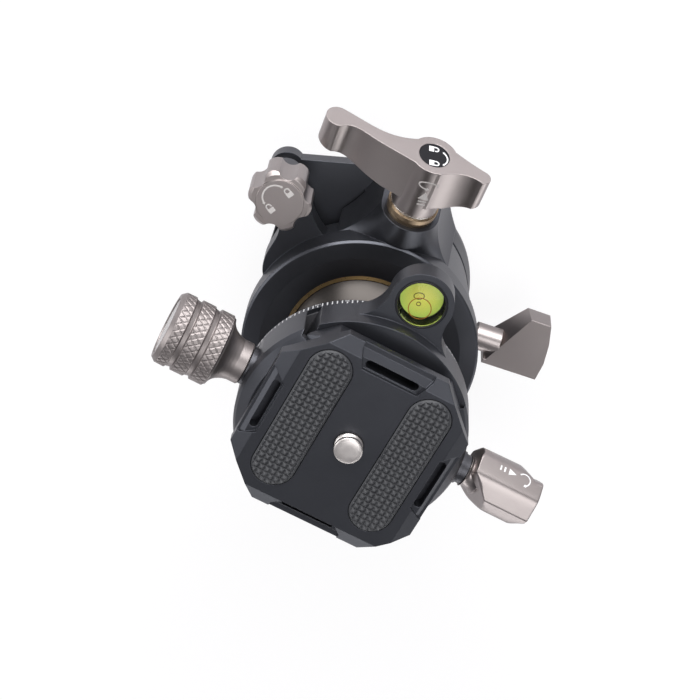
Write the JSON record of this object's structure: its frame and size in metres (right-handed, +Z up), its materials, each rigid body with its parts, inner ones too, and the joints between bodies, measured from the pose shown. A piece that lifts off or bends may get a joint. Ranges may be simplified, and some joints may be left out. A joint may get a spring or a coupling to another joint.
{
  "type": "panning ball head",
  "caption": "Levelling ball head for a tripod: panning base, lockable ball, panning dovetail clamp with a bubble level and a quick-release camera plate.",
  "frame": {"origin": "centre of the tripod thread in the plane of the base's foot", "axes": "+Z up along the ball head's vertical axis, through the base, the ball and the clamp; +Y towards the side of the main lever; +X to the side of the base's pan lock"},
  "size_m": [0.0911, 0.0898, 0.1038],
  "materials": {
    "black_anodised": "satin anodised",
    "titanium_anodised": "satin anodised",
    "ball_metal": "satin anodised",
    "gold_ring": "satin",
    "bronze": "satin",
    "steel": "bright",
    "dark_steel": "satin",
    "brass": "machined",
    "bearing_plastic": "matte",
    "pad_rubber": "textured matte",
    "inlay_black": "matte",
    "level_housing": "satin",
    "level_liquid": "clear tinted liquid",
    "level_window": "clear"
  },
  "bodies": {
    "base": {"base_disc": "black_anodised", "pan_bearing_washer": "bearing_plastic", "pan_retaining_nut": "brass"},
    "housing": {"housing": "black_anodised", "ball_bowl": "black_anodised", "seat_spring": "steel", "lower_ball_seat": "bearing_plastic", "upper_seat_ring": "gold_ring", "ball_lock_shoe": "brass", "lever_thrust_washer": "bronze", "lever_washer": "steel", "drag_washer": "dark_steel", "pan_brake_shoe": "brass"},
    "lever": {"main_lever": "titanium_anodised", "lever_inlay": "inlay_black", "lever_screw": "steel"},
    "drag_knob": {"drag_knob": "titanium_anodised", "drag_screw": "steel"},
    "pan_lock": {"pan_lock_knob": "titanium_anodised", "pan_lock_screw": "steel"},
    "ball": {"ball": "ball_metal"},
    "neck": {"neck": "ball_metal", "graduated_disc": "black_anodised", "clamp_retainer": "black_anodised", "neck_bolt": "steel", "clamp_bearing_washer": "bearing_plastic"},
    "clamp": {"clamp_body": "black_anodised", "guide_pins": "steel", "jaw_spring": "steel", "clamp_lock_shoe": "brass", "clamp_lock_washer_dark": "dark_steel", "clamp_lock_washer": "steel", "level_cup": "level_housing", "level_vial": "level_liquid", "level_lens": "level_window"},
    "jaw": {"movable_jaw": "black_anodised", "clamp_knob_washer": "steel"},
    "clamp_knob": {"clamp_knob": "titanium_anodised", "clamp_knob_cap": "steel", "clamp_screw": "steel"},
    "clamp_lock": {"clamp_lock_knob": "titanium_anodised", "clamp_lock_screw": "steel"},
    "plate": {"qr_plate": "black_anodised", "plate_pad_left": "pad_rubber", "plate_pad_right": "pad_rubber"},
    "camera_screw": {"camera_screw": "steel"}
  },
  "joints": [
    {"name": "base_pan", "type": "hinge", "parent": "base", "child": "housing", "pos_m": [0, 0, 0.02], "axis": [0, 0, 1], "continuous": true},
    {"name": "ball_tilt_x", "type": "hinge", "parent": "housing", "child": "ball", "pos_m": [0, 0, 0.0383], "axis": [1, 0, 0], "range_deg": [-16, 22]},
    {"name": "ball_tilt_y", "type": "hinge", "parent": "ball", "child": "neck", "pos_m": [0, 0, 0.0383], "axis": [0, 1, 0], "range_deg": [-21, 21]},
    {"name": "clamp_pan", "type": "hinge", "parent": "neck", "child": "clamp", "pos_m": [0, 0, 0.085], "axis": [0, 0, 1], "continuous": true},
    {"name": "jaw_slide", "type": "slide", "parent": "clamp", "child": "jaw", "axis": [-0.8708, 0.4917, 0], "range_m": [0, 0.003]},
    {"name": "clamp_knob_turn", "type": "hinge", "parent": "jaw", "child": "clamp_knob", "pos_m": [0, 0, 0.0875], "axis": [-0.8708, 0.4917, 0], "range_deg": [0, 1080]},
    {"name": "clamp_lock_turn", "type": "hinge", "parent": "clamp", "child": "clamp_lock", "pos_m": [0, 0, 0.0862], "axis": [0.8708, -0.4917, 0], "range_deg": [-20, 180]},
    {"name": "plate_slide", "type": "slide", "parent": "clamp", "child": "plate", "axis": [0.4917, 0.8708, 0], "range_m": [-0.015, 0.015]},
    {"name": "camera_screw_turn", "type": "hinge", "parent": "plate", "child": "camera_screw", "pos_m": [0, 0, 0.1], "axis": [0, 0, 1], "continuous": true},
    {"name": "main_lever_turn", "type": "hinge", "parent": "housing", "child": "lever", "pos_m": [0, 0, 0.035], "axis": [0.3102, 0.8615, 0.4019], "range_deg": [-15, 120]},
    {"name": "drag_knob_turn", "type": "hinge", "parent": "housing", "child": "drag_knob", "pos_m": [-0.017, 0.04, 0.05], "axis": [0, 0, 1], "range_deg": [-90, 180]},
    {"name": "pan_lock_turn", "type": "hinge", "parent": "housing", "child": "pan_lock", "pos_m": [0, 0, 0.024], "axis": [0.9397, -0.342, 0], "range_deg": [-20, 180]}
  ],
  "couplings": [
    {"joint": "clamp_knob_turn", "follows": "jaw_slide", "rad_per_m": 6283.1}
  ]
}
